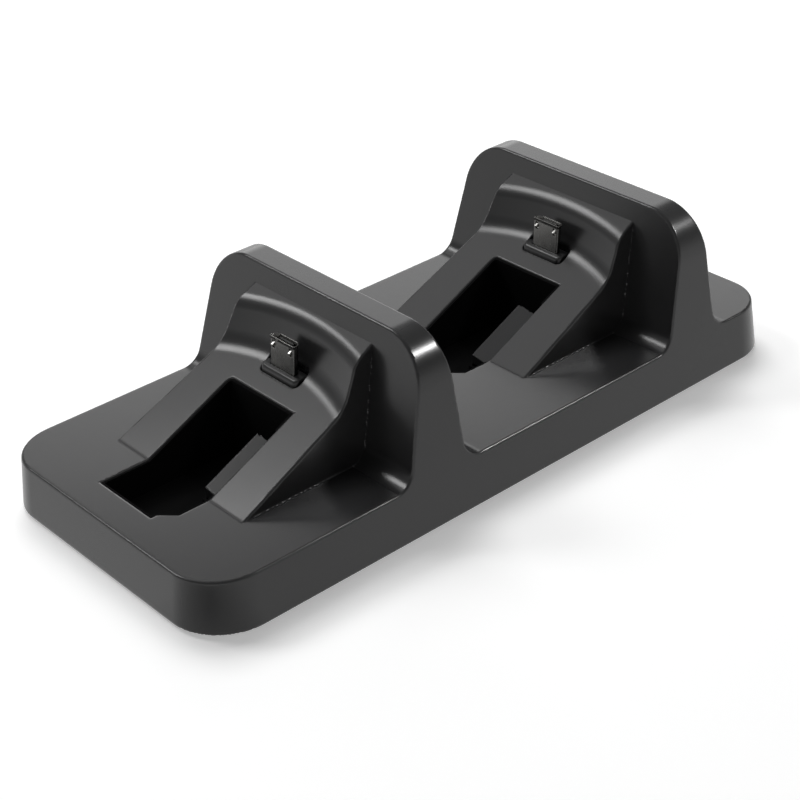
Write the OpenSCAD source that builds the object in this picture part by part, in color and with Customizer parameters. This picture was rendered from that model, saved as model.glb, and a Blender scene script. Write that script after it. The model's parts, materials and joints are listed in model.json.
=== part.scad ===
/* [Base] */
// Width of the base at its underside, mm
base_w = 66; // [60:1:76]
// Length of the base at its underside, mm
base_l = 144; // [138:1:160]
// Height of the base from its underside to its flat top, mm
base_h = 10; // [9:0.5:13]
// Radius of the base's upright corners, mm
corner_r = 11; // [8:0.5:14]
// Radius of the edge round the base's flat top, mm
base_edge_r = 0.6; // [0.3:0.1:1]
// Slope of every outer side, degrees from upright
side_draft = 6.4; // [3:0.2:8]
// Thickness of the housing's moulded skin, mm
skin = 2; // [1.6:0.1:2.4]

/* [Back rests] */
// Place of the front back rest's face along the base, where it leaves the flat, mm
front_rest_y = -27.1; // [-29:0.1:-24]
// Distance from one back rest to the next, mm
rest_pitch = 67; // [64:0.5:70]
// Height of a back rest above the base's flat, mm
rest_h = 25; // [23:0.5:30]
// Thickness of a back rest where it leaves the flat, mm
rest_t = 13.3; // [12:0.1:15]
// Lean of a back rest's front face, degrees from upright
rest_front_lean = 14.3; // [10:0.5:16]
// Lean of a back rest's rear face, degrees from upright
rest_back_lean = 3.4; // [2:0.2:5]
// Radius of a back rest's two top corners, mm
rest_corner_r = 9.9; // [7:0.1:12]
// Radius of a back rest's long top edges, mm
rest_edge_r = 0.8; // [0.4:0.1:1.2]
// Radius of the sweep from the flat up a back rest, mm
rest_fillet = 4; // [2.5:0.1:4.5]

/* [Cradles] */
// Reach of a cradle's toe ahead of its back rest, mm
cradle_l = 26.9; // [25.5:0.1:28]
// Half the cradle's width at the flat, mm
cradle_half_w = 19.05; // [17.5:0.05:22]
// Slope of a cradle's two sides, degrees from upright
cradle_draft = 5.5; // [3:0.5:7]
// Rise of the cradle's slope, degrees from level
cradle_slope = 25; // [24:0.5:26]
// Height of the lip above the slope, square to it, mm
lip_h = 5.4; // [4.5:0.1:6]
// Radius of the scoop along the lip's edge, mm
scoop_r = 58; // [50:1:70]
// Distance from the plug to the middle of the lip's edge, mm
lip_gap = 5; // [4.4:0.1:5.6]
// Lean of the scoop's wall away from the slope's square, degrees
scoop_lean = 49; // [44:1:52]
// Radius of the sweep from the slope up the scoop, mm
scoop_fillet = 7; // [4:0.5:8]

/* [Pockets] */
// Half the pocket's width, mm
pocket_half_w = 9.2; // [7.5:0.1:10]
// Reach of the pocket ahead of the cradle's toe, mm
pocket_front = 10.2; // [8:0.1:12]
// Distance from the pocket's rear edge to the plug, mm
pocket_gap = 5.8; // [5.6:0.1:7]
// Width of the corner that stays closed at the pocket's front right, mm
pocket_corner_w = 2.8; // [2:0.1:4]
// Length of that closed corner, its slanted part included, mm
pocket_corner_l = 3.9; // [3:0.1:5]
// Width of the sunken ledge inside the front pocket, mm
front_ledge_w = 4.3; // [3:0.1:6]
// Width of the sunken ledge inside the rear pocket, mm
rear_ledge_w = 5.6; // [3:0.1:6]
// Depth of the ledge under the slope, square to it, mm
ledge_drop = 1.2; // [0.8:0.1:1.6]
// Start of the front pocket's ledge behind its cradle's toe, mm
front_ledge_start = 2.2; // [0.4:0.1:3]
// End of the front pocket's ledge behind its cradle's toe, mm
front_ledge_end = 14.6; // [11:0.1:16]
// Start of the rear pocket's ledge behind its cradle's toe, mm
rear_ledge_start = 0.6; // [0.4:0.1:3]
// End of the rear pocket's ledge behind its cradle's toe, mm
rear_ledge_end = 13.7; // [11:0.1:16]
// Wall of the pocket's liner, mm
liner_t = 1.2; // [0.8:0.1:1.4]

/* [Charging plugs] */
// Width of the plug's metal shell, mm
plug_w = 6.85; // [6.6:0.05:7.1]
// Thickness of the plug's metal shell, mm
plug_t = 1.8; // [1.7:0.05:2]
// Length of the plug that stands clear of its grip, mm
plug_l = 5.7; // [5:0.1:6.5]
// Length of the plug held inside its grip, mm
plug_root = 3; // [2:0.1:4]
// Sheet thickness of the plug's shell, mm
plug_sheet = 0.3; // [0.25:0.01:0.35]
// Lean of the plug towards its back rest, degrees
plug_lean = 5.5; // [3:0.5:8]
// Distance from the plug to the foot of the back rest's face, mm
plug_gap = 1.5; // [1.1:0.1:2]
// Height of the grip's end face above the slope's line, mm
grip_rise = 0.35; // [0.2:0.05:0.8]
// Width of the plug's plastic grip, mm
grip_w = 10.4; // [9.6:0.1:11.4]
// Reach of the grip ahead of the plug's middle, mm
grip_front = 2; // [1.8:0.1:2.6]
// Reach of the grip behind the plug's middle, mm
grip_back = 1.4; // [1.3:0.1:2]
// Radius of the grip's long front edge, mm
grip_edge_r = 1; // [0.4:0.1:1.2]
// Length of the plug's plastic grip, mm
grip_l = 6; // [5:0.1:7]
// Spacing of the two latch hooks, mm
hook_pitch = 4.9; // [4.7:0.05:5.2]
// Number of contacts on the plug's tongue
contact_count = 5; // [3:1:5]

/* [Bottom cover and feet] */
// Thickness of the bottom cover, mm
cover_t = 2; // [1.8:0.1:2.4]
// Rim of housing left round the bottom cover, mm
cover_rim = 1.1; // [1:0.1:1.3]
// Radius of a rubber foot, mm
foot_r = 4.5; // [3.5:0.1:5]
// Height of a rubber foot below the base's underside, mm
foot_h = 0.8; // [0.5:0.1:1.5]
// Depth of a foot's seat in the bottom cover, mm
foot_seat = 0.6; // [0.4:0.1:0.8]
// Distance of a foot's centre from the base's side, mm
foot_side = 12; // [11:0.5:13]
// Distance of a foot's centre from the base's end, mm
foot_end = 18; // [16:0.5:20]

/* [Screws] */
// Shank radius of a case screw, mm
case_shank_r = 1.1; // [1:0.05:1.2]
// Head radius of a case screw, mm
case_head_r = 2.2; // [1.9:0.1:2.3]
// Distance of a case screw from the base's side, mm
case_side = 6.6; // [6.4:0.1:7]
// Distance of the end case screws from the base's end, mm
case_end = 10.5; // [10:0.1:11.5]
// Shank radius of a board screw, mm
board_shank_r = 0.8; // [0.7:0.05:0.9]
// Head radius of a board screw, mm
board_head_r = 1.6; // [1.4:0.1:1.8]

/* [Electronics] */
// Thickness of every circuit board, mm
board_t = 1.6; // [1:0.1:1.6]
// Width of the main board's long arm, mm
arm_w = 11.2; // [9:0.1:11.3]
// Length of the main board's rear part, mm
board_rear_l = 12.5; // [11:0.1:14]
// Width of a plug board, mm
plug_board_w = 21; // [20:0.5:22]
// Depth of a plug board, mm
plug_board_d = 7; // [6.4:0.1:7.6]
// Width of the power inlet's metal shell, mm
inlet_w = 7.5; // [7:0.1:8]
// Height of the power inlet's metal shell, mm
inlet_h = 2.5; // [2.2:0.1:2.5]
// Length of the power inlet's metal shell, mm
inlet_l = 5.6; // [5:0.1:6]
// Width of a flat lead, mm
lead_w = 5; // [4:0.1:6]
// Thickness of a flat lead, mm
lead_t = 0.8; // [0.6:0.1:1]
// Side of a charging chip, mm
chip_w = 6; // [4:0.5:8]
// Height of a charging chip, mm
chip_h = 1.5; // [1:0.1:1.8]

/* [Clearances] */
// Gap round a piece that is set into another, mm
fit = 0.1; // [0.05:0.01:0.15]
// Gap round a screw's shank, mm
shank_gap = 0.05; // [0.03:0.01:0.08]
// Gap round the plug's grip in the housing, mm
grip_gap = 0.15; // [0.1:0.01:0.2]

/* [Hidden] */
$fn = 72;

housing_color = [0.16, 0.16, 0.17];
liner_color = [0.04, 0.04, 0.04];
rubber_color = [0.07, 0.07, 0.07];
steel_color = [0.62, 0.62, 0.60];
board_color = [0.08, 0.30, 0.16];

cut = 1; // how far a cutter runs past the face that it opens
under_z = foot_h; // the base's underside
flat_z = foot_h + base_h; // the base's flat top
rest_top_z = flat_z + rest_h;
cover_top_z = under_z + cover_t;
roof_z = flat_z - skin; // inside of the flat
rest_front_ys = [front_rest_y, front_rest_y + rest_pitch];
toe_ys = [for (y = rest_front_ys) y - cradle_l];
ledge_ws = [front_ledge_w, rear_ledge_w];
ledge_starts = [front_ledge_start, rear_ledge_start];
ledge_ends = [front_ledge_end, rear_ledge_end];

// Places measured back from a cradle's toe
plug_y = cradle_l - plug_gap;
grip_z = plug_y * tan(cradle_slope) + grip_rise; // above the flat
pocket_back = plug_y - pocket_gap;
lip_u = (plug_y + lip_gap + lip_h * sin(cradle_slope)) / cos(cradle_slope); // up the slope

// Half width and half length of the outer form at height z, moved inwards by t
function half_w(z, t) = base_w / 2 - (z - under_z) * tan(side_draft) - t / cos(side_draft);
function half_l(z, t) = base_l / 2 - (z - under_z) * tan(side_draft) - t / cos(side_draft);
function corner(z, t) = corner_r - (z - under_z) * tan(side_draft) - t / cos(side_draft);

// Points of an arc about c, from angle a to angle b
function arc(c, r, a, b, steps) = [for (i = [0 : steps]) let (v = a + (b - a) * i / steps)
    [c[0] + r * cos(v), c[1] + r * sin(v)]];

// Outline along the base (y across the sheet, z up) carried across its width
module across(w) {
    rotate([90, 0, 90]) translate([0, 0, -w / 2]) linear_extrude(w) children();
}

// Outline across the base (x across the sheet, z up) carried along its length
module along(l) {
    rotate([90, 0, 0]) translate([0, 0, -l / 2]) linear_extrude(l) children();
}

module rounded_rect(w, l, r) {
    square([w - 2 * r, l], center = true);
    square([w, l - 2 * r], center = true);
    for (x = [-1, 1], y = [-1, 1])
        translate([x * (w / 2 - r), y * (l / 2 - r)]) circle(r);
}

// Right half of a drafted block's section: low and mid are its half widths at z0 and at the edge's centre
module block_half(low, mid, z0, z1, r) {
    centre = [mid - r / cos(side_draft), z1 - r];
    edge = r > 0 ? arc(centre, r, side_draft, 90, 6) : [[mid, z1]];
    polygon(concat([[0, z0], [low, z0]], edge, [[0, z1]]));
}

module block_section(low, mid, z0, z1, r) {
    block_half(low, mid, z0, z1, r);
    mirror([1, 0]) block_half(low, mid, z0, z1, r);
}

// Block with drafted sides and rounded upright corners, from z0 to z1, its top edge rounded by r
module drafted_block(z0, z1, t, r) {
    along(base_l - 2 * corner_r) block_section(half_w(z0, t), half_w(z1 - r, t), z0, z1, r);
    across(base_w - 2 * corner_r) block_section(half_l(z0, t), half_l(z1 - r, t), z0, z1, r);
    for (x = [-1, 1], y = [-1, 1])
        translate([x * (base_w / 2 - corner_r), y * (base_l / 2 - corner_r), 0])
            rotate_extrude() block_half(corner(z0, t), corner(z1 - r, t), z0, z1, r);
}

// Front view of a back rest: drafted sides and two round top corners
module rest_front(z0, t) {
    r = rest_corner_r - t;
    cz = rest_top_z - rest_corner_r;
    cx = half_w(cz, 0) - rest_corner_r / cos(side_draft);
    polygon(concat([[-half_w(z0, t), z0], [half_w(z0, t), z0]],
        arc([cx, cz], r, side_draft, 90, 14), arc([-cx, cz], r, 90, 180 - side_draft, 14)));
}

// Places of a back rest's front and rear faces at height z, moved inwards by t
function rest_front_at(z, t) = (z - flat_z) * tan(rest_front_lean) + t / cos(rest_front_lean);
function rest_back_at(z, t) = rest_t - (z - flat_z) * tan(rest_back_lean) - t / cos(rest_back_lean);

// Distance from the foot of a leaning face back to the centre of its sweep
function sweep_back(lean) = rest_fillet * (1 - sin(lean)) / cos(lean);

// Side view of a back rest: two leaning faces, round top edges, and sweeps into the flat
module rest_side(z0) {
    ez = rest_top_z - rest_edge_r;
    sweep_z = flat_z + rest_fillet;
    front = [rest_front_at(ez, 0) + rest_edge_r / cos(rest_front_lean), ez];
    back = [rest_back_at(ez, 0) - rest_edge_r / cos(rest_back_lean), ez];
    sweep_front = -sweep_back(rest_front_lean);
    sweep_rear = rest_t + sweep_back(rest_back_lean);
    polygon(concat([[sweep_front, z0]],
        arc([sweep_front, sweep_z], rest_fillet, -90, -rest_front_lean, 8),
        arc(front, rest_edge_r, 180 - rest_front_lean, 90, 6),
        arc(back, rest_edge_r, 90, rest_back_lean, 6),
        arc([sweep_rear, sweep_z], rest_fillet, 180 + rest_back_lean, 270, 8),
        [[sweep_rear, z0]]));
}

// Side view of the hollow in a back rest
module rest_hollow(z0, t) {
    z1 = rest_top_z - t;
    polygon([[rest_front_at(z0, t), z0], [rest_back_at(z0, t), z0],
        [rest_back_at(z1, t), z1], [rest_front_at(z1, t), z1]]);
}

module back_rests(t) {
    z0 = flat_z - t - cut;
    for (y = rest_front_ys)
        intersection() {
            translate([0, y, 0]) across(base_w) {
                if (t == 0) rest_side(z0);
                else rest_hollow(z0, t);
            }
            along(base_l) rest_front(z0, t);
        }
}

// Puts its children in a cradle's own frame: y runs up the slope from the toe, z is square to it
module on_slope(toe_y) {
    translate([0, toe_y, flat_z]) rotate([cradle_slope, 0, 0]) children();
}

// Air above the slope and in front of the lip: turned about a line square to the slope
module scoop(t) {
    turn = 90 - scoop_lean;
    wall_r = scoop_r - lip_h * tan(scoop_lean) + t * (1 / cos(scoop_lean) - tan(scoop_lean));
    sweep = scoop_fillet + t;
    sweep_r = wall_r - sweep * tan(turn / 2);
    top = lip_h + 2 * cut;
    translate([0, lip_u - scoop_r, -t]) rotate_extrude($fn = 160)
        polygon(concat([[0, 0]], arc([sweep_r, sweep], sweep, -90, turn - 90, 8),
            [[wall_r + top * tan(scoop_lean), top], [0, top]]));
}

// Side view of a cradle with its lip still square, from below the flat up into the back rest
module cradle_side(t) {
    low = -t - cut;
    deep = cradle_l + rest_t / 2;
    step = cradle_l / 2; // where the lip's block starts, well inside the scoop
    drop = t / cos(cradle_slope);
    rise = (lip_h - t) / cos(cradle_slope);
    polygon([[(low + drop) / tan(cradle_slope), low], [step, step * tan(cradle_slope) - drop],
        [step, step * tan(cradle_slope) + rise], [deep, deep * tan(cradle_slope) + rise], [deep, low]]);
}

module cradles(t) {
    low = flat_z - t - cut;
    for (k = [0, 1])
        difference() {
            intersection() {
                translate([0, toe_ys[k], flat_z]) across(base_w) cradle_side(t);
                along(base_l) polygon([
                    for (s = [[-1, low], [1, low], [1, rest_top_z], [-1, rest_top_z]])
                        [s[0] * (cradle_half_w - t / cos(cradle_draft)
                            - (s[1] - flat_z) * tan(cradle_draft)), s[1]]]);
                // the cradle ends inside its back rest
                translate([0, rest_front_ys[k], 0]) across(base_w) polygon([
                    [-cradle_l - cut, low], [rest_t / 2, low],
                    [rest_t / 2 + rest_h * tan(rest_front_lean) / 2, rest_top_z], [-cradle_l - cut, rest_top_z]]);
            }
            on_slope(toe_ys[k]) scoop(t);
        }
}

// The dock's whole outer form, with every face moved inwards by t
module dock_form(t, z0) {
    drafted_block(z0, flat_z - t, t, t == 0 ? base_edge_r : 0);
    back_rests(t);
    cradles(t);
}

// Outline of pocket k from above, with its closed corner and, for the liner, without the ledge
module pocket_outline(k, grow, ledge) {
    right = pocket_half_w + grow;
    step = ledge ? right - ledge_ws[k] : right;
    polygon([[-right, -pocket_front - grow], [right - pocket_corner_w, -pocket_front - grow],
        [right - pocket_corner_w, -pocket_front + pocket_corner_l / 3], [right, -pocket_front + pocket_corner_l],
        [right, ledge_starts[k] - grow], [step, ledge_starts[k] - grow], [step, ledge_ends[k] + grow],
        [right, ledge_ends[k] + grow], [right, pocket_back + grow], [-right, pocket_back + grow]]);
}

module pocket_column(k, grow, ledge, z0) {
    translate([0, toe_ys[k], z0]) linear_extrude(rest_top_z - z0) pocket_outline(k, grow, ledge);
}

// Ledge inside a pocket, under the slope and joined to the skin at its right
module pocket_ledge(k, grow) {
    intersection() {
        on_slope(toe_ys[k])
            translate([pocket_half_w - ledge_ws[k] - grow, -cradle_l / 2, -ledge_drop - skin - grow])
                cube([ledge_ws[k] + skin + 2 * grow, 2 * cradle_l, skin + 2 * grow]);
        translate([0, toe_ys[k] + ledge_starts[k] - grow, under_z])
            cube([base_w / 2, ledge_ends[k] - ledge_starts[k] + 2 * grow, rest_top_z]);
    }
}

case_ys = [-base_l / 2 + case_end, 0, base_l / 2 - case_end];
case_x = base_w / 2 - case_side;
case_boss_r = 2.5;
case_bore_top = roof_z - 0.8;
case_head_h = 1.2;

liner_floor_z = cover_top_z + 0.6;
board_z = cover_top_z + 1.6; // underside of the main board
board_top_z = board_z + board_t;
arm_x1 = -pocket_half_w - liner_t - 2 * fit - 0.9; // edge of the long arm beside the pockets
arm_x0 = arm_x1 - arm_w;
board_rear_y = base_l / 2 - skin - 1.9;
board_rear_x = 9;
board_front_y = toe_ys[0] + plug_y - plug_board_d - board_shank_r;
board_screw_x = arm_x0 + arm_w / 2;
board_screws = [[board_screw_x, board_front_y + 2 * board_head_r],
    [board_screw_x, toe_ys[1] + plug_y - 2 * grip_l],
    [board_rear_x - arm_w - board_shank_r, board_rear_y - board_rear_l + 2 * board_head_r]];
board_boss_r = 2;
board_head_h = 1.1;

plug_post_x = plug_board_w / 2 - 2.4;
plug_post_r = 1.9;
inlet_z = board_top_z;
inlet_y = board_rear_y + 1.6; // mouth of the inlet

// Puts its children in a plug's own frame: z runs out along the plug, 0 is the grip's end face
module on_plug(toe_y) {
    translate([0, toe_y + plug_y, flat_z + grip_z]) rotate([-plug_lean, 0, 0]) children();
}

// Outline of a plug's grip, with a gap all round for its slot
module grip_outline(gap) {
    translate([0, (grip_back - grip_front) / 2])
        rounded_rect(grip_w + 2 * gap, grip_front + grip_back + 2 * gap, 1 + gap);
}

module upper_housing() {
    color(housing_color) difference() {
        union() {
            difference() {
                dock_form(0, under_z);
                dock_form(skin, under_z - cut);
            }
            for (k = [0, 1]) pocket_ledge(k, 0);
            // posts for the screws, rooted in the skin
            intersection() {
                dock_form(skin / 2, cover_top_z);
                union() {
                    for (x = [-case_x, case_x], y = case_ys)
                        translate([x, y, cover_top_z]) cylinder(h = rest_h, r = case_boss_r);
                    for (p = board_screws)
                        translate([p[0], p[1], board_top_z]) cylinder(h = rest_h, r = board_boss_r);
                    for (y = toe_ys, x = [-plug_post_x, plug_post_x])
                        on_plug(y) translate([x, 0, -grip_l]) cylinder(h = grip_l + cut, r = plug_post_r);
                }
            }
        }
        for (k = [0, 1]) {
            difference() {
                pocket_column(k, 0, false, roof_z - base_h / 2);
                pocket_ledge(k, 0);
            }
            on_plug(toe_ys[k]) translate([0, 0, -grip_l - cut]) linear_extrude(grip_l + 2 * cut)
                grip_outline(grip_gap);
            on_plug(toe_ys[k]) for (x = [-plug_post_x, plug_post_x])
                translate([x, 0, -grip_l - cut]) cylinder(h = cut + 2.4, r = board_shank_r + shank_gap);
        }
        // rebate for the bottom cover
        translate([0, 0, under_z - cut]) linear_extrude(cover_t + cut)
            rounded_rect(base_w - 2 * cover_rim, base_l - 2 * cover_rim, corner_r - cover_rim);
        for (x = [-case_x, case_x], y = case_ys)
            translate([x, y, under_z]) cylinder(h = case_bore_top - under_z, r = case_shank_r + shank_gap);
        for (p = board_screws)
            translate([p[0], p[1], board_z]) cylinder(h = board_t + 2.2, r = board_shank_r + shank_gap);
        // mouth for the power inlet in the rear end
        translate([0, base_l / 2, inlet_z + inlet_h / 2]) rotate([90, 0, 0])
            linear_extrude(2 * skin + 2 * cut, center = true)
                rounded_rect(inlet_w + 2 * grip_gap, inlet_h + 2 * grip_gap, 0.9);
    }
}

module bottom_cover() {
    w = base_w - 2 * cover_rim - 2 * fit;
    l = base_l - 2 * cover_rim - 2 * fit;
    color(housing_color) difference() {
        translate([0, 0, under_z]) linear_extrude(cover_t) rounded_rect(w, l, corner_r - cover_rim - fit);
        for (x = [-case_x, case_x], y = case_ys) {
            translate([x, y, under_z - cut]) cylinder(h = cut + case_head_h, r = case_head_r + fit);
            translate([x, y, under_z - cut]) cylinder(h = cover_t + 2 * cut, r = case_shank_r + shank_gap);
        }
        for (x = [-1, 1], y = [-1, 1])
            translate([x * (base_w / 2 - foot_side), y * (base_l / 2 - foot_end), under_z - cut])
                cylinder(h = cut + foot_seat, r = foot_r + fit);
    }
}

module foot(x, y) {
    edge = 0.3;
    color(rubber_color) translate([x * (base_w / 2 - foot_side), y * (base_l / 2 - foot_end), 0])
        rotate_extrude() polygon([[0, 0], [foot_r - edge, 0], [foot_r, edge],
            [foot_r, foot_h + foot_seat], [0, foot_h + foot_seat]]);
}

// Screw with its head down and its shank up, z = 0 at the seat under the head
module screw(head_r, head_h, shank_r, length) {
    difference() {
        union() {
            translate([0, 0, -head_h]) cylinder(h = head_h, r = head_r);
            cylinder(h = length - shank_r, r = shank_r);
            translate([0, 0, length - shank_r]) cylinder(h = shank_r, r1 = shank_r, r2 = shank_r / 4);
        }
        for (a = [0, 90]) rotate([0, 0, a]) translate([0, 0, -head_h])
            cube([1.2 * head_r, head_r / 4, head_h], center = true);
    }
}

module case_screw(x, y) {
    seat = under_z + case_head_h;
    color(steel_color) translate([x * case_x, y, seat])
        screw(case_head_r, case_head_h - 0.2, case_shank_r, case_bore_top - seat - 0.4);
}

module board_screw(p) {
    color(steel_color) translate([p[0], p[1], board_z])
        screw(board_head_r, board_head_h, board_shank_r, board_t + 1.9);
}

module main_board() {
    color(board_color) difference() {
        translate([0, 0, board_z]) linear_extrude(board_t) polygon([
            [arm_x0, board_front_y], [arm_x1, board_front_y], [arm_x1, board_rear_y - board_rear_l],
            [board_rear_x, board_rear_y - board_rear_l], [board_rear_x, board_rear_y], [arm_x0, board_rear_y]]);
        for (p = board_screws)
            translate([p[0], p[1], board_z - cut]) cylinder(h = board_t + 2 * cut, r = board_shank_r + shank_gap);
    }
}

// Charging chip on the main board, centred at y
module chip(y) {
    color("dimgray") translate([board_screw_x - chip_w / 2, y - chip_w / 2, board_top_z])
        cube([chip_w, chip_w, chip_h]);
}

module power_coil() {
    color("dimgray") translate([board_screw_x, board_rear_y - board_rear_l / 2, board_top_z])
        cylinder(h = 2.4, r = 3.4);
}

// Shell of the inlet, a squared sheet tube whose mouth faces the rear
module inlet_shell() {
    sheet = 0.3;
    color(steel_color) translate([0, inlet_y, inlet_z + inlet_h / 2]) rotate([90, 0, 0])
        difference() {
            linear_extrude(inlet_l) rounded_rect(inlet_w, inlet_h, 0.7);
            translate([0, 0, -cut]) linear_extrude(inlet_l + cut - sheet)
                rounded_rect(inlet_w - 2 * sheet, inlet_h - 2 * sheet, 0.4);
        }
}

module inlet_tongue() {
    wide = inlet_w - 3.4;
    color("black") translate([-wide / 2, inlet_y - inlet_l + 0.3, inlet_z + inlet_h / 2 + 0.1])
        cube([wide, inlet_l - 1.3, 0.6]);
}

// Black well under a pocket's mouth, as deep as the bottom cover allows
module pocket_liner(k) {
    color(liner_color) intersection() {
        difference() {
            pocket_column(k, liner_t + fit, false, liner_floor_z);
            pocket_column(k, fit, true, liner_floor_z + liner_t);
            pocket_ledge(k, fit);
        }
        dock_form(skin + fit, liner_floor_z);
    }
}

// Circuit board under a plug, its front edge just clear of the pocket's liner
module plug_board(toe_y) {
    front = pocket_back + liner_t + 3 * fit - plug_y + (grip_l + board_t) * sin(plug_lean);
    color(board_color) on_plug(toe_y) difference() {
        translate([-plug_board_w / 2, front, -grip_l - board_t])
            cube([plug_board_w, plug_board_d, board_t]);
        for (x = [-plug_post_x, plug_post_x]) translate([x, 0, -grip_l - board_t - cut])
            cylinder(h = board_t + 2 * cut, r = board_shank_r + shank_gap);
    }
}

module plug_screws(toe_y) {
    color(steel_color) on_plug(toe_y) for (x = [-plug_post_x, plug_post_x])
        translate([x, 0, -grip_l - board_t]) screw(board_head_r, board_head_h, board_shank_r, board_t + 1.9);
}

// Flat lead, bent twice between the main board and a plug board
module plug_lead(toe_y) {
    x0 = arm_x1 - lead_w / 2;
    x1 = -plug_post_x + board_head_r + lead_t;
    z0 = board_top_z;
    z1 = flat_z + grip_z - (grip_l + board_t) * cos(plug_lean) - lead_w / 2 * sin(plug_lean) - 2 * fit;
    z_low = z0 + lead_w / 2;
    z_high = z1 - 2 * lead_t;
    color("gray") translate([0, toe_y + plug_y - (grip_l + board_t) * sin(plug_lean), 0]) along(lead_w)
        polygon([[x0, z0], [x0 + lead_t, z0], [x0 + lead_t, z_low - lead_t / 2],
            [x1 + lead_t, z_high - lead_t / 2], [x1 + lead_t, z1], [x1, z1],
            [x1, z_high + lead_t / 2], [x0, z_low + lead_t / 2]]);
}

// Outline of the plug's shell: square at the front, bevelled at the two rear corners
module plug_outline(inset) {
    w = plug_w / 2 - inset;
    t = plug_t / 2 - inset;
    bevel = 0.7 - inset / 2;
    polygon([[-w, -t], [w, -t], [w, t - bevel], [w - bevel, t], [-w + bevel, t], [-w, t - bevel]]);
}

module plug_grip(toe_y) {
    color(housing_color) on_plug(toe_y) difference() {
        intersection() {
            translate([0, 0, -grip_l]) linear_extrude(grip_l) grip_outline(0);
            across(grip_w + cut) polygon(concat([[-grip_front, -grip_l], [grip_back, -grip_l], [grip_back, 0]],
                arc([-grip_front + grip_edge_r, -grip_edge_r], grip_edge_r, 90, 180, 8)));
        }
        translate([0, 0, -plug_root]) linear_extrude(plug_root + cut) plug_outline(0);
    }
}

hook_w = 0.6;
hook_z = plug_l - 1.6; // middle of the latch hooks

module plug_shell(toe_y) {
    color(steel_color) on_plug(toe_y) difference() {
        translate([0, 0, -plug_root]) linear_extrude(plug_root + plug_l) plug_outline(0);
        translate([0, 0, -plug_root + plug_sheet]) linear_extrude(plug_root + plug_l) plug_outline(plug_sheet);
        for (x = [-1, 1]) translate([x * hook_pitch / 2, -plug_t / 2, hook_z])
            cube([hook_w + 2 * fit, 2 * plug_sheet + fit, 1.5], center = true);
    }
}

tongue_y0 = 0.05;

module plug_tongue(toe_y) {
    back = plug_t / 2 - plug_sheet - fit / 2;
    wide = hook_pitch - hook_w - 2 * fit;
    bevel = 0.5;
    color("black") on_plug(toe_y) translate([0, 0, -plug_root + plug_sheet]) {
        linear_extrude(plug_root + plug_l - plug_sheet - 0.4)
            polygon([[-wide / 2, tongue_y0], [wide / 2, tongue_y0], [wide / 2, back - bevel / 2],
                [wide / 2 - bevel, back], [-wide / 2 + bevel, back], [-wide / 2, back - bevel / 2]]);
    }
}

module plug_contacts(toe_y) {
    pitch = 0.65;
    strip = 0.35;
    thick = 0.12;
    color("gold") on_plug(toe_y) for (k = [0 : contact_count - 1])
        translate([(k - (contact_count - 1) / 2) * pitch - strip / 2, tongue_y0 - thick, -plug_root + plug_sheet])
            cube([strip, thick, plug_root + plug_l - plug_sheet - 0.8]);
}

// Two sprung fingers whose hooks stand out of the shell's front
module plug_latch(toe_y) {
    finger = 0.25;
    y0 = -plug_t / 2 + plug_sheet + fit / 2;
    color(steel_color) on_plug(toe_y) for (x = [-1, 1])
        translate([x * hook_pitch / 2 - hook_w / 2, 0, 0]) rotate([90, 0, 90]) linear_extrude(hook_w)
            polygon([[y0, -plug_root + plug_sheet], [y0 + finger, -plug_root + plug_sheet],
                [y0 + finger, hook_z + 0.6], [y0, hook_z + 0.6],
                [y0 - plug_sheet - 0.45, hook_z + 0.1], [y0 - plug_sheet - 0.45, hook_z - 0.1],
                [y0, hook_z - 0.4]]);
}

upper_housing();
bottom_cover();
foot(-1, -1);  // foot_front_left
foot(1, -1);  // foot_front_right
foot(-1, 1);  // foot_rear_left
foot(1, 1);  // foot_rear_right
case_screw(-1, case_ys[0]);  // case_screw_front_left
case_screw(1, case_ys[0]);  // case_screw_front_right
case_screw(-1, case_ys[1]);  // case_screw_middle_left
case_screw(1, case_ys[1]);  // case_screw_middle_right
case_screw(-1, case_ys[2]);  // case_screw_rear_left
case_screw(1, case_ys[2]);  // case_screw_rear_right
main_board();
board_screw(board_screws[0]);  // board_screw_front
board_screw(board_screws[1]);  // board_screw_middle
board_screw(board_screws[2]);  // board_screw_rear
inlet_shell();
inlet_tongue();
chip(board_screws[0][1] + rest_pitch / 3);  // charge_chip_front
chip(board_screws[1][1] - rest_pitch / 5);  // charge_chip_rear
power_coil();
pocket_liner(0);  // pocket_liner_front
pocket_liner(1);  // pocket_liner_rear
plug_board(toe_ys[0]);  // plug_board_front
plug_board(toe_ys[1]);  // plug_board_rear
plug_screws(toe_ys[0]);  // plug_screws_front
plug_screws(toe_ys[1]);  // plug_screws_rear
plug_lead(toe_ys[0]);  // plug_lead_front
plug_lead(toe_ys[1]);  // plug_lead_rear
plug_grip(toe_ys[0]);  // plug_grip_front
plug_grip(toe_ys[1]);  // plug_grip_rear
plug_shell(toe_ys[0]);  // plug_shell_front
plug_shell(toe_ys[1]);  // plug_shell_rear
plug_tongue(toe_ys[0]);  // plug_tongue_front
plug_tongue(toe_ys[1]);  // plug_tongue_rear
plug_contacts(toe_ys[0]);  // plug_contacts_front
plug_contacts(toe_ys[1]);  // plug_contacts_rear
plug_latch(toe_ys[0]);  // plug_latch_front
plug_latch(toe_ys[1]);  // plug_latch_rear
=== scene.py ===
import json
import math

import bmesh
import bpy
import numpy as np
from mathutils import Matrix, Vector


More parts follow.
